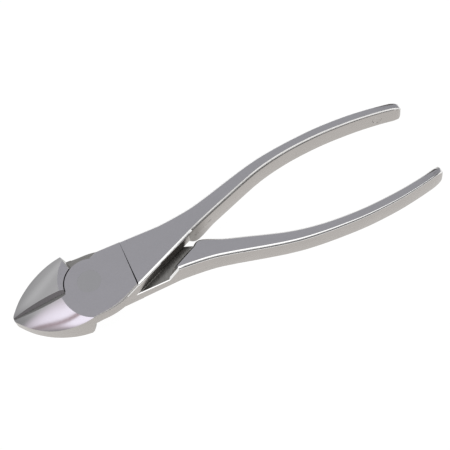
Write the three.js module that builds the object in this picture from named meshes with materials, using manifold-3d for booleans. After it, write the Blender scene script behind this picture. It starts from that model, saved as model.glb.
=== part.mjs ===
// Sprue nippers: a one-piece-per-side stainless diagonal cutter with a flush-ground pivot.
// Two forged halves lap over each other at a round joint. The front half carries the -Y jaw
// and the +Y handle, and the rear half is the same forging turned over about the long axis,
// apart from the back of the jaw's heel, which leans more on the front half.
// Millimetres. +X runs from the jaws to the handle ends, +Z is the pivot axis.
import * as THREE from 'three';
import { mergeVertices } from 'three/addons/utils/BufferGeometryUtils.js';
import Module from 'manifold-3d';

const wasm = await Module();
wasm.setup();

// ---- driving dimensions -------------------------------------------------------------
const TOOL_LENGTH = 150;        // jaw tip to handle ends
const TIP_X = -27.5;            // jaw tip, measured from the pivot
const END_X = TIP_X + TOOL_LENGTH;
const JOINT_HALF = 4.75;        // half the thickness over the ground joint faces
const LAP_GAP = 0.1;            // each lap face stands this far from the middle plane
const STEP_X = 14.2;            // where the ground joint face ends and the handle face begins
const HANDLE_HALF = 4.6;        // half thickness of the handle at STEP_X
const HANDLE_END_HALF = 3.85;   // half thickness at the handle end
const EDGE_CHAMFER = 0.85;      // polished chamfer along the handle edges
const JOINT_CHAMFER = 0.3;      // light edge break on the joint
const LAP_CHAMFER = 0.25;       // edge break where a half plate meets the lap plane
const DISC_R = 8.4;             // round end of the lap plate
const RECESS_R = 8.75;          // recess in the other jaw around that disc
const PIVOT_R = 4.0;            // rivet
const PIVOT_CLEARANCE = 0.05;   // radial, rivet to bore
const JAW_GAP = 0.05;           // each jaw's mating face from the centre plane
const SHOULDER = [5.6, 9.35];   // outer corner of the plate behind the disc
const HEEL = [-5.9, 13.2];      // outer rear corner of the jaw
// Back of the heel: its rounded corner, its line at full thickness, how far it leans back
// towards the lap plane, the blunting of its edge (along the tool, in thickness), and how
// far round the recess runs, in degrees.
const FRONT_HEEL = {
  round: [[-4.9, 13.12], [-4, 13.04], [-3.4, 12.7], [-3.08, 12.1], [-2.95, 11.3]],
  back: [[-4.2, 7.54], [-5.4, 13.2]], lean: 2.4, blunt: [1.33, 0.85], recessTo: 255,
};
const REAR_HEEL = {
  round: [[-5.4, 13.12], [-4.95, 12.8], [-4.7, 12.2], [-4.5, 11.4]],
  back: [[-4.44, 7.54], [-5.9, 13.2]], lean: 1.2, blunt: [0.2, 0.2], recessTo: 245,
};
const HANDLE_SHOULDER = [[23.6, 9.38], [35.7, 3.35]];  // where full thickness begins
const CORNER_CUT = { x: 23.9, slope: 1.0, chamfer: 0.6 };  // sloping cut on its outer corner
const HANDLE_OUTER = [[28, 9.35], [33, 9.75], [40, 10.65], [46, 12.1], [52, 13.8], [58, 15.5],
  [64, 17.05], [70, 18.25], [77, 19.1], [84, 19.6], [91, 19.85], [98, 19.65], [105, 19.1],
  [112, 18.1], [118, 16.98]];
const HANDLE_INNER = [[36.2, 1.13], [40, 2.85], [44.7, 4.75], [49, 6.4], [54, 8.25], [60, 10.5],
  [66, 12.6], [72, 14.15], [79, 15.35], [86, 16], [93, 16.25], [100, 16.05], [107, 15.55],
  [114, 14.65], [117.6, 14.0]];
const HANDLE_INNER_REAR = [[44.2, 4.4], [42.2, 3.4], [40.2, 2.5], [38.6, 2.02], [37.3, 2.15],
  [36.4, 2.7]];
const NOSE = { x: 121.08, y: 14.69, r: 1.42, tiltDeg: 76 };   // round end of the handle
const END_ROUND = 3.8;          // length of the rounding of the handle end, seen from the side
const END_DROP = 2.7;
const END_CHAMFER = { outer: 0.35, nose: 0.35, inner: 0.55 };   // chamfers narrow to these
const INNER_SLOPE = 0.452;      // straight inner edge of the plate, running under the crotch
const JAW_OUTER = [[TIP_X, 0.5], [-27.2, 1.25], [-26.3, 2.45], [-25, 4.05], [-23.3, 5.9],
  [-21, 7.85], [-18.2, 9.75], [-15, 11.3], [-11.5, 12.45], [-8.5, 13], HEEL];
const DOME_A = 10.3;            // semi-axes of the flat joint face on the jaw side
const DOME_B = 13.5;
const DOME_SLOPE = 1.15;        // fall of the jaw face outside that ellipse
const DOME_CURVE = 0.39;
const DOME_SIDE = 0.011;        // extra fall towards the outer edge, times y squared
const EDGE_LINE = { z: 4.2, x: -9, slope: 0.144 };  // the straight cutting edge
const BEVEL_DEG = 28;           // front bevel beside the cutting edge
const RELIEF_DEG = 19;          // hollow behind the cutting edge
const EDGE_LAND = 0.9;          // height of the mating face under the edge
const DIMPLE = { x: 113.5, z: 0, r: 1.7, depth: 0.32 };
const STEP_CUT = { inner: [0.28, 0.55], outer: [0.06, 0.12] };  // half width, depth
// Section of a polished edge as (inset, drop) in chamfer sizes: flat at 45 degrees, then
// rounded into the side wall.
const EDGE_ROWS = [[0, 1.65], [0.08, 1.12], [0.29, 0.71], [1, 0]];

// ---- helpers ------------------------------------------------------------------------
const v2 = (p) => new THREE.Vector2(p[0], p[1]);

function solid(geometry) {
  const bare = new THREE.BufferGeometry();
  bare.setAttribute('position', geometry.getAttribute('position'));
  bare.setIndex(geometry.getIndex());
  const g = mergeVertices(bare, 1e-5);
  const triVerts = new Uint32Array(g.getIndex().array);
  const vertProperties = new Float32Array(g.getAttribute('position').array);
  return new wasm.Manifold(new wasm.Mesh({ numProp: 3, vertProperties, triVerts }));
}

function mesh(name, shape, colour, roughness) {
  const m = shape.getMesh();
  const g = new THREE.BufferGeometry();
  g.setAttribute('position', new THREE.BufferAttribute(new Float32Array(m.vertProperties), 3));
  g.setIndex(new THREE.BufferAttribute(new Uint32Array(m.triVerts), 1));
  g.computeVertexNormals();
  const material = new THREE.MeshStandardMaterial({ color: colour, roughness, metalness: 1 });
  const out = new THREE.Mesh(g, material);
  out.name = name;
  return out;
}

// A smooth curve through the points, cut into short pieces.
function smooth(points, pieces) {
  return new THREE.SplineCurve(points.map(v2)).getPoints(pieces).map((p) => [p.x, p.y]);
}

function arc(radius, fromDeg, toDeg, pieces) {
  const out = [];
  for (let i = 0; i <= pieces; i++) {
    const a = THREE.MathUtils.degToRad(fromDeg + (toDeg - fromDeg) * i / pieces);
    out.push([radius * Math.cos(a), radius * Math.sin(a)]);
  }
  return out;
}

const withChamfer = (points, c) => points.map((p) => [p[0], p[1], c]);
const alongHandle = (points, end) => points.map((p) => [p[0], p[1], handleChamfer(p[0], end)]);
const mirrorY = (points) => points.map((p) => [p[0], -p[1]]);

// Half thickness of the handle faces, which taper to the ends and round off there.
function handleTop(x) {
  const flat = THREE.MathUtils.mapLinear(x, STEP_X, END_X, HANDLE_HALF, HANDLE_END_HALF);
  const t = THREE.MathUtils.clamp((x - END_X + END_ROUND) / END_ROUND, 0, 1);
  return flat - END_DROP * (1 - Math.sqrt(1 - t * t));
}

const handleChamfer = (x, end) => THREE.MathUtils.lerp(EDGE_CHAMFER, end,
  THREE.MathUtils.smoothstep(x, 50, END_X));

// The polygon moved inwards by each point's own third value, with mitred corners.
function inset(outline, amount) {
  const n = outline.length;
  return outline.map((p, i) => {
    const a = v2(outline[(i + n - 1) % n]);
    const b = v2(outline[(i + 1) % n]);
    const c = v2(p);
    const d1 = c.clone().sub(a).normalize();
    const d2 = b.sub(c).normalize();
    const n1 = new THREE.Vector2(-d1.y, d1.x);
    const n2 = new THREE.Vector2(-d2.y, d2.x);
    const m = n1.clone().add(n2);
    m.multiplyScalar(amount(p) / Math.max(0.04, n1.dot(m)));
    return [c.x + m.x, c.y + m.y];
  });
}

// A closed slab: the outline from the low plane up to the top face, chamfered at the top by
// each point's third value and at the bottom by a fixed edge break.
function slab(outline, zLow, topAt, lowChamfer, sign) {
  const ring = THREE.ShapeUtils.area(outline.map(v2)) > 0 ? outline : [...outline].reverse();
  const low = inset(ring, () => lowChamfer);
  const n = ring.length;
  const pos = [];
  low.forEach((p) => pos.push(p[0], p[1], sign * zLow));
  ring.forEach((p) => pos.push(p[0], p[1], sign * (zLow + lowChamfer)));
  let top = low;
  for (const [across, down] of EDGE_ROWS) {
    top = inset(ring, (p) => across * p[2]);
    top.forEach((p, i) => pos.push(p[0], p[1], sign * (topAt(p[0]) - down * ring[i][2])));
  }
  const rows = EDGE_ROWS.length + 1;
  const tri = [];
  for (let r = 0; r < rows; r++) {
    for (let i = 0; i < n; i++) {
      const j = (i + 1) % n;
      const a = r * n + i, b = r * n + j, c = a + n, d = b + n;
      tri.push(a, b, d, a, d, c);
    }
  }
  for (const f of THREE.ShapeUtils.triangulateShape(top.map(v2), [])) {
    tri.push(rows * n + f[0], rows * n + f[1], rows * n + f[2]);
  }
  for (const f of THREE.ShapeUtils.triangulateShape(low.map(v2), [])) {
    tri.push(f[2], f[1], f[0]);
  }
  if (sign < 0) {
    for (let i = 0; i < tri.length; i += 3) [tri[i], tri[i + 1]] = [tri[i + 1], tri[i]];
  }
  const g = new THREE.BufferGeometry();
  g.setAttribute('position', new THREE.BufferAttribute(new Float32Array(pos), 3));
  g.setIndex(tri);
  return solid(g);
}

function prism(points, zLow, zHigh) {
  const g = new THREE.ExtrudeGeometry(new THREE.Shape(points.map(v2)),
    { depth: zHigh - zLow, bevelEnabled: false, curveSegments: 1 });
  g.translate(0, 0, zLow);
  return solid(g);
}

function box(x0, x1, y0, y1, z0, z1) {
  const g = new THREE.BoxGeometry(x1 - x0, y1 - y0, z1 - z0);
  g.translate((x0 + x1) / 2, (y0 + y1) / 2, (z0 + z1) / 2);
  return solid(g);
}

// A bar with one (y, z) section at each end, put in place by an optional matrix.
function bar(x0, section0, x1, section1, place) {
  const n = section0.length;
  const pos = [];
  section0.forEach((p) => pos.push(x0, p[0], p[1]));
  section1.forEach((p) => pos.push(x1, p[0], p[1]));
  const tri = [];
  for (let i = 0; i < n; i++) {
    const j = (i + 1) % n;
    tri.push(i, j, n + j, i, n + j, n + i);
  }
  for (let i = 1; i < n - 1; i++) {
    tri.push(0, i + 1, i);
    tri.push(n, n + i, n + i + 1);
  }
  if (THREE.ShapeUtils.area(section0.map(v2)) < 0) {
    for (let i = 0; i < tri.length; i += 3) [tri[i], tri[i + 1]] = [tri[i + 1], tri[i]];
  }
  const g = new THREE.BufferGeometry();
  g.setAttribute('position', new THREE.BufferAttribute(new Float32Array(pos), 3));
  g.setIndex(tri);
  if (place) g.applyMatrix4(place);
  return solid(g);
}

// Turned about the vertical axis by an angle in degrees, then moved.
const placed = (x, y, z, deg) => new THREE.Matrix4().makeTranslation(x, y, z)
  .multiply(new THREE.Matrix4().makeRotationZ(THREE.MathUtils.degToRad(deg)));

// ---- outlines of the front half (its jaw at -Y, its handle at +Y) ---------------------
const jawOuter = mirrorY(smooth(JAW_OUTER, 34));
const nose = arc(NOSE.r, NOSE.tiltDeg, NOSE.tiltDeg - 180, 12)
  .map((p) => [p[0] + NOSE.x, p[1] + NOSE.y]);
const outerEdge = smooth([...HANDLE_OUTER, nose[0]], 58);
const innerEdge = smooth([...HANDLE_INNER, nose.at(-1)], 58);
const tipArc = nose.slice(1, -1);

// Lower edge of the front plate: straight along the crotch, then round to the jaw heel.
function plateLower() {
  const start = [9.5, 1.13 - INNER_SLOPE * (36.2 - 9.5)];
  const curve = new THREE.QuadraticBezierCurve(v2(start),
    new THREE.Vector2(5, start[1] - INNER_SLOPE * 4.5), new THREE.Vector2(-0.5, -12.85));
  const round = curve.getPoints(10).map((p) => [p.x, p.y]);
  const chamfer = (x) => THREE.MathUtils.lerp(0.12, EDGE_CHAMFER,
    THREE.MathUtils.clamp((x + 5) / 20, 0, 1));
  return [...round, [-3.2, -13.02]].map((p) => [p[0], p[1], chamfer(p[0])]);
}

function frontOutline() {
  return [
    [...SHOULDER, JOINT_CHAMFER],
    ...alongHandle(outerEdge, END_CHAMFER.outer), ...alongHandle(tipArc, END_CHAMFER.nose),
    ...alongHandle([...innerEdge].reverse(), END_CHAMFER.inner), ...plateLower(),
    [-4.2, -11.6, 0.02], [-6.5, -8, 0.02],
    ...withChamfer(arc(DISC_R, 184, 70, 38), 0.06),
  ];
}

function rearOutline() {
  const outer = outerEdge.filter((p) => p[0] > HANDLE_SHOULDER[0][0] + 1);
  const inner = innerEdge.filter((p) => p[0] > HANDLE_INNER_REAR[0][0] + 1).reverse();
  return [
    ...alongHandle([HANDLE_SHOULDER[0], ...outer], END_CHAMFER.outer),
    ...alongHandle(tipArc, END_CHAMFER.nose),
    ...alongHandle([...inner, ...smooth(HANDLE_INNER_REAR, 14), HANDLE_SHOULDER[1]],
      END_CHAMFER.inner),
  ];
}

// The jaw at full thickness, cut round at the back for the other half's disc.
function jawFullOutline(heel) {
  const recess = arc(RECESS_R, 180, heel.recessTo, 22);
  return [[TIP_X, -JAW_GAP], ...jawOuter, ...mirrorY(heel.round), ...recess.reverse(),
    [-RECESS_R, -JAW_GAP]];
}

// The jaw's front layer, carried over the recess into the plate.
function jawFrontOutline() {
  return [[TIP_X, -JAW_GAP], ...jawOuter, [-3.2, -13.02], [-2.4, -10], [-5, -6],
    [-DISC_R, -JAW_GAP]];
}

// ---- solids --------------------------------------------------------------------------
// Envelope of the jaw faces: flat over the joint, falling away towards the tip and sides.
function jawEnvelope() {
  const profile = [new THREE.Vector2(0, -JOINT_HALF)];
  const steps = 14, reach = 2.9;
  const z = (e) => JOINT_HALF - DOME_SLOPE * (e - 1) - DOME_CURVE * (e - 1) ** 2;
  for (let i = 0; i <= steps; i++) {
    const e = 1 + (reach - 1) * i / steps;
    profile.push(new THREE.Vector2(e, -z(e)));
  }
  for (let i = steps; i >= 0; i--) {
    const e = 1 + (reach - 1) * i / steps;
    profile.push(new THREE.Vector2(e, z(e)));
  }
  profile.push(new THREE.Vector2(0, JOINT_HALF));
  const g = new THREE.LatheGeometry(profile, 120);
  g.rotateX(Math.PI / 2);
  g.scale(DOME_A, DOME_B, 1);
  const at = g.getAttribute('position');
  for (let i = 0; i < at.count; i++) {
    const [x, y, top] = [at.getX(i), at.getY(i), Math.abs(at.getZ(i))];
    const outside = Math.max(0, Math.hypot(x / DOME_A, y / DOME_B) - 1);
    at.setZ(i, Math.sign(at.getZ(i)) * Math.max(0.5, top - DOME_SIDE * outside * y * y));
  }
  return solid(g);
}

// The outer corner of the handle shoulder is cut back at a slope towards the rear face...
function cornerCut() {
  const at = (z) => CORNER_CUT.x - CORNER_CUT.slope * z;
  const section = [[0, at(0)], [-9, at(-9)], [-9, 10], [0, 10]];
  const g = new THREE.ExtrudeGeometry(new THREE.Shape(section.map((p) => v2([p[1], p[0]]))),
    { depth: 40, bevelEnabled: false });
  g.rotateX(Math.PI / 2);
  g.translate(0, 25, 0);
  return solid(g);
}

// ...and that cut has its own polished edge against the outer wall.
function cornerChamfer() {
  const c = CORNER_CUT.chamfer, y = HANDLE_SHOULDER[0][1];
  const section = [[y - c - 1, -1], [y + 1, c + 1], [y + 1, -1]];
  const place = new THREE.Matrix4().makeTranslation(CORNER_CUT.x, 0, 0)
    .multiply(new THREE.Matrix4().makeRotationY(Math.atan(1 / CORNER_CUT.slope)));
  return bar(-3, section, 12, section, place);
}

// The back face of the heel leans back towards the lap plane, and its edge is blunted.
function heelBack(heel) {
  const [a, b] = mirrorY(heel.back);
  const deg = THREE.MathUtils.radToDeg(Math.atan2(b[1] - a[1], b[0] - a[0]));
  const [along, deep] = heel.blunt;
  const corner = [deep * heel.lean / JOINT_HALF, deep - JOINT_HALF];
  const below = 2;
  const section = [corner, [heel.lean, 0], [8, 0], [8, -9], [corner[0] - below * along, -9],
    [corner[0] - below * along, corner[1] - below * deep]];
  return bar(-4, section, 12, section, placed(a[0], a[1], 0, deg));
}

// A fine tapered cut across the plate, where the ground joint face ends.
function stepCut() {
  const section = ([half, depth]) => [[0, JOINT_HALF - depth],
    [2 * half, JOINT_HALF + depth], [-2 * half, JOINT_HALF + depth]];
  return bar(-9.4, section(STEP_CUT.inner), 9.6, section(STEP_CUT.outer),
    placed(STEP_X, 0, 0, 90));
}

function halfBlank(heel) {
  const front = frontOutline();
  const handle = slab(front, LAP_GAP, handleTop, LAP_CHAMFER, 1)
    .intersect(box(STEP_X - 1.2, 200, -50, 50, -20, 20));
  const joint = slab(front, LAP_GAP, () => JOINT_HALF, LAP_CHAMFER, 1)
    .intersect(box(-50, STEP_X, -50, 50, -20, 20));
  const rear = slab(rearOutline(), -0.4, handleTop, 0.02, -1).subtract(cornerCut())
    .subtract(cornerChamfer());
  const envelope = jawEnvelope();
  const jawFull = prism(jawFullOutline(heel), -8, 8).intersect(envelope)
    .subtract(heelBack(heel));
  const jawFront = prism(jawFrontOutline(), LAP_GAP, 8).intersect(envelope);
  return handle.add(joint).add(rear).add(jawFull).add(jawFront).subtract(stepCut());
}

// The shallow V between the two jaws on the front, down to the cutting edge.
function frontBevels() {
  const at = (x) => EDGE_LINE.z + EDGE_LINE.slope * (x - EDGE_LINE.x);
  const rise = 3 * Math.tan(THREE.MathUtils.degToRad(BEVEL_DEG));
  const section = (z) => [[0, z], [3, z + rise], [3, 9], [-3, 9], [-3, z + rise]];
  const x0 = TIP_X - 1, x1 = -DISC_R - 0.2;
  return bar(x0, section(at(x0)), x1, section(at(x1)));
}

// The deeper hollow behind the cutting edges.
function rearRelief() {
  const at = (x) => EDGE_LINE.z + EDGE_LINE.slope * (x - EDGE_LINE.x) - EDGE_LAND;
  const out = (z) => (z + 7) * Math.tan(THREE.MathUtils.degToRad(RELIEF_DEG));
  const section = (z) => [[0, z], [-out(z), -7], [out(z), -7]];
  const x0 = TIP_X - 1, x1 = -RECESS_R - 0.15;
  return bar(x0, section(at(x0)), x1, section(at(x1)));
}

function cylinder(radius, z0, z1, segments) {
  const g = new THREE.CylinderGeometry(radius, radius, z1 - z0, segments);
  g.rotateX(Math.PI / 2);
  g.translate(0, 0, (z0 + z1) / 2);
  return solid(g);
}

// A shallow round mark pressed into the inner side of one handle.
function dimple() {
  const i = HANDLE_INNER.findIndex((p) => p[0] > DIMPLE.x);
  const [a, b] = [HANDLE_INNER[i - 1], HANDLE_INNER[i]];
  const t = (DIMPLE.x - a[0]) / (b[0] - a[0]);
  const g = new THREE.SphereGeometry(1, 28, 14);
  g.scale(DIMPLE.r, DIMPLE.depth, DIMPLE.r);
  g.rotateZ(Math.atan2(b[1] - a[1], b[0] - a[0]));
  g.translate(DIMPLE.x, a[1] + t * (b[1] - a[1]) - 0.04, DIMPLE.z);
  return solid(g);
}

// ---- assembly ------------------------------------------------------------------------
const bore = cylinder(PIVOT_R + PIVOT_CLEARANCE, -10, 10, 64);
const bevels = frontBevels();
const relief = rearRelief();
const frontHalf = halfBlank(FRONT_HEEL)
  .subtract(bore).subtract(bevels).subtract(relief).subtract(dimple());
const rearHalf = halfBlank(REAR_HEEL).rotate([180, 0, 0])
  .subtract(bore).subtract(bevels).subtract(relief);
const rivet = cylinder(PIVOT_R, -JOINT_HALF + 0.02, JOINT_HALF - 0.02, 64);

const group = new THREE.Group();
group.name = 'sprue_nippers';
group.add(mesh('front_half', frontHalf, 0x9c9c9e, 0.34));
group.add(mesh('rear_half', rearHalf, 0x9c9c9e, 0.34));
group.add(mesh('pivot_rivet', rivet, 0x97979a, 0.38));
for (const m of group.children) {
  m.geometry.translate(-(TIP_X + TOOL_LENGTH / 2), 0, JOINT_HALF);
}

export default group;
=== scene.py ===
"""Looks for the sprue nippers: ground, brushed and polished stainless steel on the CAD frame."""
import math

import bmesh
import bpy
import numpy as np
from mathutils import Matrix, Vector


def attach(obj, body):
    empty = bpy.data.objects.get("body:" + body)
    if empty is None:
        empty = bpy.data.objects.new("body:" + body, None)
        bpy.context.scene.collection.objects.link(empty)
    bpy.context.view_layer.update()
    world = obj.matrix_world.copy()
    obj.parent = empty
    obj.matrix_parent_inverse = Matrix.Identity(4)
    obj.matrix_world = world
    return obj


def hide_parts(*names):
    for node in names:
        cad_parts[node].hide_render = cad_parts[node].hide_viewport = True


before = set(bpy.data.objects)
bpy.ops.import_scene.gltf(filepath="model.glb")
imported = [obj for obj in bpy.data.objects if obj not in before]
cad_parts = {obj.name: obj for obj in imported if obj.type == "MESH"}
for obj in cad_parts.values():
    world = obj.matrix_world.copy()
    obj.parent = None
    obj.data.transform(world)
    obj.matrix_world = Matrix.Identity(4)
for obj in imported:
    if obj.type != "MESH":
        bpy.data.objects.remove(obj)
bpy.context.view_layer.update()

MM = 0.001
PIVOT_X = -47.5 * MM          # pivot axis in the tool's frame
MID_Z = 4.75 * MM             # middle plane between the two lap plates
RIVET_SPREAD = 1.011          # the rivet fills its hole
RIVET_FLUSH = 1.0038          # and ends level with the joint faces

# Places on the tool in mm: x from the pivot towards the handle ends, y from the middle line.
STEP_X, STEP_HALF, STEP_REACH = 14.2, 0.35, 9.2     # fine cut across the plate
BEVEL_END_X = -8.3            # the cutting bevels lie beyond this, towards the tips
JAW_END_X = -2.0              # the domed jaw faces lie beyond this
FLAT_A, FLAT_B = 10.3, 13.5   # half axes of the flat joint face on the jaw side
DISC_WALL = 8.9               # everything upright closer to the pivot is joint
HEEL_FROM, HEEL_TO = -7.0, -1.0
PLATE_SIDE_X = 12.0           # behind this the lap plates' edges are polished
CROTCH_X = 36.5               # the lap ends and the handles begin
LAP_DEPTH = 0.8               # lap faces lie this close to the middle plane
DIMPLE_X, DIMPLE_R = 113.5, 1.75                    # round mark on one handle
DIMPLE_NEAR, DIMPLE_FAR = 12.0, 16.2
DIMPLE_LEAN = 0.2             # how far the handle's side is turned there
ROOT_FROM, ROOT_TO = 33.0, 50.0                     # inner sides of the handle roots
ROOT_DARK, ROOT_CLEAR = PIVOT_X + 37.0 * MM, PIVOT_X + 46.0 * MM
# Painted shade: the handle roots' inner sides are painted darker towards the crotch, standing in for
# the shade and dark reflection there.
CROTCH_PAINTED_SHADE = (0.25, 0.235, 0.22)   # the roots' colour where they are darkest
CROTCH_ROOT = [(38.6, 2.02), (40.2, 2.5), (42.2, 3.4), (44.2, 4.4)]

# ---- camera ---------------------------------------------------------------------------
CAM_TARGET = Vector((1.45, 1.12, 4.75)) * MM
CAM_DISTANCE = 0.359
CAM_AZ, CAM_EL, CAM_ROLL = (math.radians(a) for a in (-12.12, 60.0, -13.53))
CAM_LENS = 85.2


def add_camera():
    """The camera stands off its target at the given bearing and height, rolled a little."""
    back = Vector((math.sin(CAM_AZ) * math.cos(CAM_EL), -math.cos(CAM_AZ) * math.cos(CAM_EL),
                   math.sin(CAM_EL)))
    right = Vector((math.cos(CAM_AZ), math.sin(CAM_AZ), 0.0))
    up = back.cross(right)
    c, s = math.cos(CAM_ROLL), math.sin(CAM_ROLL)
    right, up = c * right + s * up, -s * right + c * up
    data = bpy.data.cameras.new("camera")
    data.sensor_width = 36.0
    data.lens = CAM_LENS
    data.clip_start, data.clip_end = 0.01, 20.0
    camera = bpy.data.objects.new("camera", data)
    bpy.context.scene.collection.objects.link(camera)
    m = Matrix((right, up, back)).transposed().to_4x4()
    m.translation = CAM_TARGET + back * CAM_DISTANCE
    camera.matrix_world = m
    bpy.context.scene.camera = camera


# ---- materials ------------------------------------------------------------------------
def node_material(name):
    mat = bpy.data.materials.new(name)
    mat.use_nodes = True
    tree = mat.node_tree
    tree.nodes.clear()
    out = tree.nodes.new("ShaderNodeOutputMaterial")
    bsdf = tree.nodes.new("ShaderNodeBsdfPrincipled")
    tree.links.new(bsdf.outputs["BSDF"], out.inputs["Surface"])
    return mat, tree, bsdf


def noise(tree, vector, scale, detail, rough=0.55):
    n = tree.nodes.new("ShaderNodeTexNoise")
    n.inputs["Scale"].default_value = scale
    n.inputs["Detail"].default_value = detail
    n.inputs["Roughness"].default_value = rough
    tree.links.new(vector, n.inputs["Vector"])
    return n.outputs["Fac"]


def mapped(tree, coords, stretch, turn=0.0):
    m = tree.nodes.new("ShaderNodeMapping")
    m.inputs["Scale"].default_value = stretch
    m.inputs["Rotation"].default_value = (0.0, 0.0, turn)
    tree.links.new(coords, m.inputs["Vector"])
    return m.outputs["Vector"]


def remap(tree, value, low, high):
    """Noise, which lies mostly between 0.3 and 0.7, spread from low to high."""
    r = tree.nodes.new("ShaderNodeMapRange")
    r.inputs["From Min"].default_value = 0.3
    r.inputs["From Max"].default_value = 0.7
    r.inputs["To Min"].default_value = low
    r.inputs["To Max"].default_value = high
    tree.links.new(value, r.inputs["Value"])
    return r.outputs["Result"]


def mix_colour(tree, fac, a, b):
    m = tree.nodes.new("ShaderNodeMix")
    m.data_type = "RGBA"
    m.inputs["A"].default_value = (*a, 1.0)
    m.inputs["B"].default_value = (*b, 1.0)
    tree.links.new(fac, m.inputs["Factor"])
    return m.outputs["Result"]


def add(tree, a, b, wa, wb):
    """The weighted sum of two values."""
    m = tree.nodes.new("ShaderNodeMath")
    m.operation = "MULTIPLY"
    tree.links.new(a, m.inputs[0])
    m.inputs[1].default_value = wa
    n = tree.nodes.new("ShaderNodeMath")
    n.operation = "MULTIPLY_ADD"
    tree.links.new(b, n.inputs[0])
    n.inputs[1].default_value = wb
    tree.links.new(m.outputs[0], n.inputs[2])
    return n.outputs[0]


def swirl(tree, coords, per_metre):
    """Coordinates that follow circles round the pivot, for faces turned in a lathe."""
    split = tree.nodes.new("ShaderNodeSeparateXYZ")
    tree.links.new(coords, split.inputs[0])
    flat = tree.nodes.new("ShaderNodeCombineXYZ")
    tree.links.new(split.outputs["X"], flat.inputs["X"])
    tree.links.new(split.outputs["Y"], flat.inputs["Y"])
    reach = tree.nodes.new("ShaderNodeVectorMath")
    reach.operation = "DISTANCE"
    reach.inputs[1].default_value = (PIVOT_X, 0.0, 0.0)
    tree.links.new(flat.outputs[0], reach.inputs[0])
    rings = tree.nodes.new("ShaderNodeCombineXYZ")
    tree.links.new(reach.outputs["Value"], rings.inputs["X"])
    return mapped(tree, rings.outputs[0], (per_metre, 1.0, 1.0))


def steel(name, light, dark, rough, spread, grain, depth, turn=0.0, rings=0.0, fade=None):
    """Stainless steel: a grain stretched one way, cloudy patches of finish and fine scratches.

    The colour varies from dark to light, the roughness by spread to each side of rough. The
    grain runs along the axis with the smallest scale, or in rings round the pivot. With fade,
    painted shade darkens the colour and clears between two places along the tool.
    """
    mat, tree, bsdf = node_material(name)
    coords = tree.nodes.new("ShaderNodeTexCoord").outputs["Object"]
    along = swirl(tree, coords, rings) if rings else mapped(tree, coords, grain, turn)
    lines = noise(tree, along, 1.0, 6.0, 0.6)
    cloud = noise(tree, mapped(tree, coords, CLOUD_SCALE), 1.0, 3.0)
    across = (grain[0] * 2.1, grain[1] * 0.33, grain[2] * 0.33)
    scratch = noise(tree, mapped(tree, coords, across, turn + 0.5), 1.0, 2.0)
    finish = add(tree, lines, cloud, 0.6, 0.4)
    colour = mix_colour(tree, remap(tree, finish, 0.0, 1.0), dark, light)
    # Painted shade: with fade, the colour darkens towards the crotch and clears further along the
    # tool.
    if fade:
        split = tree.nodes.new("ShaderNodeSeparateXYZ")
        tree.links.new(coords, split.inputs[0])
        colour = blend(tree, smooth_step(tree, split.outputs["X"], *fade), CROTCH_PAINTED_SHADE, colour)
    tree.links.new(colour, bsdf.inputs["Base Color"])
    tree.links.new(remap(tree, add(tree, cloud, scratch, 0.55, 0.45), rough - spread,
                         rough + spread), bsdf.inputs["Roughness"])
    bsdf.inputs["Metallic"].default_value = 1.0
    bump = tree.nodes.new("ShaderNodeBump")
    bump.inputs["Strength"].default_value = 1.0
    bump.inputs["Distance"].default_value = depth
    tree.links.new(add(tree, lines, scratch, 0.75, 0.25), bump.inputs["Height"])
    tree.links.new(bump.outputs["Normal"], bsdf.inputs["Normal"])
    return mat


CLOUD_SCALE = (70.0, 140.0, 140.0)


def make_finishes():
    fine, long = 6200.0, 130.0
    side_light, side_dark = (0.462, 0.436, 0.414), (0.394, 0.371, 0.351)
    return {
        "satin": steel("steel_ground_face", (0.625, 0.622, 0.664), (0.573, 0.570, 0.608), 0.34, 0.04,
                       (1500.0, 2600.0, 2600.0), 8e-7),
        "wall": steel("steel_brushed_side", side_light, side_dark, 0.28, 0.05,
                      (long, fine, fine), 6e-7),
        # The crotch side is the brushed side with painted shade darkening it towards the crotch.
        "root": steel("steel_crotch_side_painted_shade", side_light, side_dark, 0.28, 0.05,
                      (long, fine, fine), 6e-7, fade=(ROOT_DARK, ROOT_CLEAR)),
        "polish": steel("steel_polished_edge", (0.88, 0.875, 0.87), (0.82, 0.815, 0.81), 0.14, 0.03,
                        (long, fine, fine), 3e-7),
        "rubbed": steel("steel_rubbed_inner_edge", (0.72, 0.71, 0.70), (0.65, 0.64, 0.63), 0.21,
                        0.04, (long, fine, fine), 4e-7),
        "soft": steel("steel_linished_edge", (0.60, 0.585, 0.575), (0.52, 0.505, 0.495), 0.36, 0.05,
                      (long, fine, fine), 8e-7),
        "jaw": steel("steel_polished_jaw", (0.80, 0.795, 0.81), (0.76, 0.755, 0.77), 0.085, 0.02,
                     (700.0, fine, fine), 3e-7),
        "bevel": steel("steel_ground_bevel", (0.56, 0.56, 0.555), (0.46, 0.46, 0.455), 0.24, 0.04,
                       (fine, 600.0, 600.0), 8e-7),
        "lap": steel("steel_lap_face", (0.50, 0.495, 0.48), (0.24, 0.235, 0.225), 0.27, 0.07,
                     (900.0, 2200.0, 2200.0), 3.5e-6, rings=1500.0),
        # Painted shade: near-black steel on the walls of the fine cut across the plate and on the
        # round mark's rim, standing in for the shade in them.
        "cut": steel("steel_groove_and_rim_painted_shade", (0.10, 0.10, 0.105), (0.06, 0.06, 0.062), 0.5, 0.08,
                     (2200.0, 2200.0, 2200.0), 1.5e-6),
        "rivet": steel("steel_ground_rivet", (0.605, 0.610, 0.630), (0.553, 0.558, 0.578), 0.35, 0.04,
                       (1500.0, 2600.0, 2600.0), 8e-7, turn=0.6),
    }


FINISH_ORDER = ["satin", "wall", "polish", "rubbed", "soft", "jaw", "bevel", "lap", "cut", "rivet",
                "root"]


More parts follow.
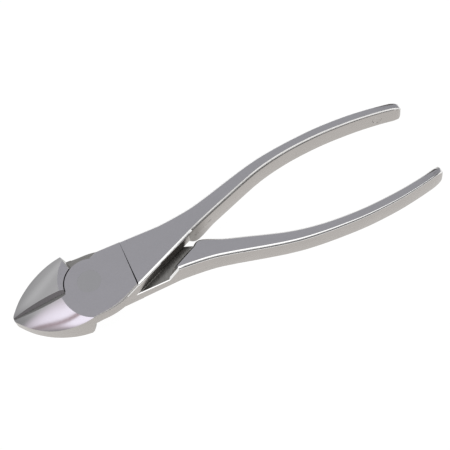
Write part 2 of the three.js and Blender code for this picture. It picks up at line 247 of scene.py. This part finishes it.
# ---- the two halves and the rivet --------------------------------------------------------
def finish_of(node, centre, normal):
    """Which finish a face has, from where it is on the tool and which way it looks."""
    x, y = (centre.x - PIVOT_X) / MM, centre.y / MM
    z = (centre.z - MID_Z) / MM
    level = abs(normal.z)
    from_pivot = math.hypot(x, y)
    towards_middle = -normal.y * math.copysign(1.0, y)
    if node == "pivot_rivet":
        return "rivet" if level > 0.9 else "lap"
    # The cut's walls take the near-black painted shade.
    if abs(x - STEP_X) < STEP_HALF and abs(normal.x) > 0.5 and abs(y) < STEP_REACH:
        return "cut"
    if x < BEVEL_END_X and towards_middle > 0.25:
        return "bevel"
    if level > 0.6 and x < JAW_END_X and math.hypot(x / FLAT_A, y / FLAT_B) > 1.002:
        return "jaw"
    if level > 0.94:
        if abs(z) < LAP_DEPTH:
            return "lap" if x < CROTCH_X else "polish"
        return "satin"
    if from_pivot < DISC_WALL or (HEEL_FROM < x < HEEL_TO and normal.x > 0.4):
        return "lap"
    if level > 0.35:
        if x > CROTCH_X and towards_middle > 0.0:
            return "rubbed"
        return "soft" if x < PLATE_SIDE_X else "polish"
    in_dimple = DIMPLE_NEAR < y < DIMPLE_FAR and math.hypot(x - DIMPLE_X, z) < DIMPLE_R
    # The round mark's steep rim takes the near-black painted shade; its floor stays plain side steel.
    if node == "front_half" and in_dimple:
        return "cut" if math.hypot(normal.x + DIMPLE_LEAN, normal.z) > 0.5 else "wall"
    # Faces on the inner sides of the handle roots get the painted shade near the crotch.
    if ROOT_FROM < x < ROOT_TO and towards_middle > -0.2:
        return "root"
    return "wall"


def peen(bm):
    """The rivet is hammered tight into its hole and ground off level with the joint faces."""
    for v in bm.verts:
        v.co.x = PIVOT_X + (v.co.x - PIVOT_X) * RIVET_SPREAD
        v.co.y *= RIVET_SPREAD
        v.co.z = MID_Z + (v.co.z - MID_Z) * RIVET_FLUSH


def root_side(x):
    """How far the inner side of a handle root is from the middle line, in mm."""
    for (xa, ya), (xb, yb) in zip(CROTCH_ROOT, CROTCH_ROOT[1:]):
        if xa <= x < xb:
            return ya + (yb - ya) * (x - xa) / (xb - xa)
    return None


def dress_crotch(bm):
    """The two depths of each handle root are dressed flush with each other on the inner side."""
    ledge_low, ledge_high, ledge_reach = 0.36, 0.44, 4.6
    for v in bm.verts:
        x, y, z = (v.co.x - PIVOT_X) / MM, abs(v.co.y) / MM, abs(v.co.z - MID_Z) / MM
        root = root_side(x)
        if root and ledge_low < z < ledge_high and root + 0.02 < y < ledge_reach:
            v.co.y = math.copysign(root * MM, v.co.y)


JAW_SPAN = 20.0 * MM          # brings places on a jaw to about 1
FEWEST_FACETS = 20            # a dome has more facets than this


def powers(x, y):
    """Terms of a cubic surface in x and y."""
    return np.stack([x ** i * y ** j for i in range(4) for j in range(4 - i)], axis=-1)


def dome_slopes(faces):
    """The cubics that give a domed jaw face's slopes along x and y, fitted to its facets."""
    centre = np.array([f.center for f in faces])
    n = np.array([f.normal for f in faces])
    weight = np.sqrt([f.area for f in faces])[:, None]
    terms = powers((centre[:, 0] - PIVOT_X) / JAW_SPAN, centre[:, 1] / JAW_SPAN)
    slopes = np.stack([n[:, 0] / n[:, 2], n[:, 1] / n[:, 2]], axis=-1)
    return np.linalg.lstsq(terms * weight, slopes * weight, rcond=None)[0]


def even_jaw_shading(me):
    """Each domed jaw face, above and below, is shaded as one smooth surface."""
    jaw = FINISH_ORDER.index("jaw")
    normals = [Vector(c.vector) for c in me.corner_normals]
    for side in (1.0, -1.0):
        faces = [f for f in me.polygons if f.material_index == jaw and side * f.normal.z > 0.0]
        if len(faces) < FEWEST_FACETS:
            continue
        fit = dome_slopes(faces)
        for loop in (index for f in faces for index in f.loop_indices):
            co = me.vertices[me.loops[loop].vertex_index].co
            sx, sy = powers((co.x - PIVOT_X) / JAW_SPAN, co.y / JAW_SPAN) @ fit
            normals[loop] = (Vector((sx, sy, 1.0)) * side).normalized()
    me.normals_split_custom_set(normals)


WELD = 2e-7                   # facets' corners closer than this are one corner
FLAT_ANGLE = math.radians(0.15)
SMOOTH_ANGLE = 0.33           # facets that meet at less than this are one curved face


def refined(node, body, finishes):
    """The CAD solid as large flat and curved faces, each with its own finish."""
    bm = bmesh.new()
    bm.from_mesh(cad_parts[node].data)
    bmesh.ops.remove_doubles(bm, verts=bm.verts, dist=WELD)
    if node == "pivot_rivet":
        peen(bm)
    else:
        dress_crotch(bm)
    bmesh.ops.dissolve_limit(bm, angle_limit=FLAT_ANGLE, verts=bm.verts, edges=bm.edges)
    for f in bm.faces:
        f.smooth = True
        f.material_index = FINISH_ORDER.index(finish_of(node, f.calc_center_median(), f.normal))
    for e in bm.edges:
        if len(e.link_faces) == 2:
            a, b = e.link_faces
            same = a.material_index == b.material_index
            e.smooth = same and e.calc_face_angle(0.0) < SMOOTH_ANGLE
    me = bpy.data.meshes.new(node + "_shape")
    bm.to_mesh(me)
    bm.free()
    for key in FINISH_ORDER:
        me.materials.append(finishes[key])
    even_jaw_shading(me)
    obj = bpy.data.objects.new(node + "_finished", me)
    bpy.context.scene.collection.objects.link(obj)
    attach(obj, body)
    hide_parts(node)


# ---- floor and light -------------------------------------------------------------------
def add_floor():
    me = bpy.data.meshes.new("floor")
    s = 3.0    # half the floor's width
    me.from_pydata([(-s, -s, 0), (s, -s, 0), (s, s, 0), (-s, s, 0)], [], [(0, 1, 2, 3)])
    floor = bpy.data.objects.new("floor", me)
    bpy.context.scene.collection.objects.link(floor)
    mat, tree, bsdf = node_material("floor_white")
    bsdf.inputs["Base Color"].default_value = (0.16, 0.16, 0.16, 1.0)
    bsdf.inputs["Roughness"].default_value = 0.9
    bsdf.inputs["Specular IOR Level"].default_value = 0.0
    bsdf.inputs["Emission Color"].default_value = (1.0, 1.0, 1.0, 1.0)
    bsdf.inputs["Emission Strength"].default_value = 0.96
    me.materials.append(mat)
    floor.location.z = -0.1 * MM


def softbox(name, place, aim, width, height, radiance):
    """An area light of the given brightness, as seen in a mirror."""
    data = bpy.data.lights.new(name, "AREA")
    data.shape = "RECTANGLE"
    data.size, data.size_y = width, height
    data.energy = radiance * math.pi * width * height
    lamp = bpy.data.objects.new(name, data)
    bpy.context.scene.collection.objects.link(lamp)
    lamp.location = place
    lamp.rotation_euler = (Vector(aim) - Vector(place)).to_track_quat("-Z", "Y").to_euler()
    lamp.visible_camera = False


def grey_ramp(tree, value, stops):
    ramp = tree.nodes.new("ShaderNodeValToRGB")
    ramp.color_ramp.interpolation = "EASE"
    tree.links.new(value, ramp.inputs["Fac"])
    for i, (at, v) in enumerate(stops):
        e = ramp.color_ramp.elements[i] if i < 2 else ramp.color_ramp.elements.new(at)
        e.position = at
        e.color = (v, v, v, 1.0)
    return ramp.outputs["Color"]


# How bright the room is at a given height (0 horizon, 1 straight up), behind the tool and
# in front of it. The front is dark higher up, where the camera stands.
ROOM_BACK = [(0.0, 0.28), (0.20, 0.34), (0.50, 0.43), (0.66, 0.54), (0.76, 0.46), (0.88, 0.50),
             (1.0, 0.60)]
ROOM_FRONT = [(0.0, 0.12), (0.22, 0.13), (0.32, 0.45), (0.48, 0.45), (0.62, 0.13), (0.97, 0.13),
              (1.0, 0.40)]
CEILING_COLOUR = (1.12, 1.06, 1.18)
GAP_COLOUR = (0.40, 0.30, 0.32)       # the joint between the two halves of the ceiling panel
CORNER_COLOUR = (0.02, 0.02, 0.025)   # the room darkens to the far left
CORNER_SHARE = 0.4


def smooth_step(tree, value, start, end):
    """0 before start, 1 after end and a soft change between them, whichever is the larger."""
    r = tree.nodes.new("ShaderNodeMapRange")
    r.interpolation_type = "SMOOTHSTEP"
    r.inputs["From Min"].default_value = start
    r.inputs["From Max"].default_value = end
    tree.links.new(value, r.inputs["Value"])
    return r.outputs["Result"]


def calc(tree, operation, a, b):
    """One sum on two values, each a number or another node's output."""
    m = tree.nodes.new("ShaderNodeMath")
    m.operation = operation
    for socket, v in ((m.inputs[0], a), (m.inputs[1], b)):
        if isinstance(v, float):
            socket.default_value = v
        else:
            tree.links.new(v, socket)
    return m.outputs[0]


def blend(tree, fac, a, b):
    """Colour a where fac is 0, b where it is 1; each is a colour or another node's output."""
    m = tree.nodes.new("ShaderNodeMix")
    m.data_type = "RGBA"
    for name, v in (("Factor", fac), ("A", a), ("B", b)):
        if isinstance(v, tuple):
            m.inputs[name].default_value = (*v, 1.0)
        else:
            tree.links.new(v, m.inputs[name])
    return m.outputs["Result"]


def ceiling_panel(tree, x, y, z):
    """Masks of the soft ceiling panel up to the left: all of it, and its two lit halves.

    The panel spans the directions that look up, left and back. Its halves lie on either side
    of a slanting joint, and the near half dims towards the far left.
    """
    left = calc(tree, "MULTIPLY", x, -1.0)
    panel = calc(tree, "MULTIPLY", smooth_step(tree, z, 0.82, 0.885),
                 calc(tree, "MULTIPLY", smooth_step(tree, left, 0.10, 0.28),
                      calc(tree, "MAXIMUM", smooth_step(tree, y, -0.08, 0.06), 0.32)))
    across = calc(tree, "SUBTRACT", y, calc(tree, "MULTIPLY", x, 0.9))
    far_half = smooth_step(tree, across, 0.565, 0.60)
    near_edge = smooth_step(tree, calc(tree, "MULTIPLY", across, -1.0), -0.545, -0.51)
    near_half = calc(tree, "MULTIPLY", near_edge,
                     calc(tree, "MAXIMUM", smooth_step(tree, left, 0.55, 0.41), 0.30))
    return panel, calc(tree, "MULTIPLY", panel, calc(tree, "MAXIMUM", far_half, near_half))


def add_light():
    world = bpy.data.worlds.new("studio")
    world.use_nodes = True
    tree = world.node_tree
    tree.nodes.clear()
    out = tree.nodes.new("ShaderNodeOutputWorld")
    back = tree.nodes.new("ShaderNodeBackground")
    split = tree.nodes.new("ShaderNodeSeparateXYZ")
    coords = tree.nodes.new("ShaderNodeTexCoord")
    tree.links.new(coords.outputs["Generated"], split.inputs[0])
    x, y, z = (split.outputs[i] for i in range(3))
    room = blend(tree, smooth_step(tree, y, -0.16, 0.04), grey_ramp(tree, z, ROOM_FRONT),
                 grey_ramp(tree, z, ROOM_BACK))
    far_left = smooth_step(tree, calc(tree, "MULTIPLY", x, -1.0), 0.36, 0.50)
    room = blend(tree, calc(tree, "MULTIPLY", far_left, CORNER_SHARE), room, CORNER_COLOUR)
    panel, lit = ceiling_panel(tree, x, y, z)
    room = blend(tree, panel, room, GAP_COLOUR)
    tree.links.new(blend(tree, lit, room, CEILING_COLOUR), back.inputs["Color"])
    tree.links.new(back.outputs[0], out.inputs["Surface"])
    bpy.context.scene.world = world
    softbox("front_low", (0.10, -0.88, 0.46), (0.0, 0.0, 0.0), 1.3, 0.28, 1.0)


add_camera()
finishes = make_finishes()
refined("front_half", "front_body", finishes)
refined("rear_half", "rear_body", finishes)
refined("pivot_rivet", "rear_body", finishes)
add_floor()
add_light()

scene = bpy.context.scene
scene.view_settings.view_transform = "Standard"
scene.view_settings.look = "None"
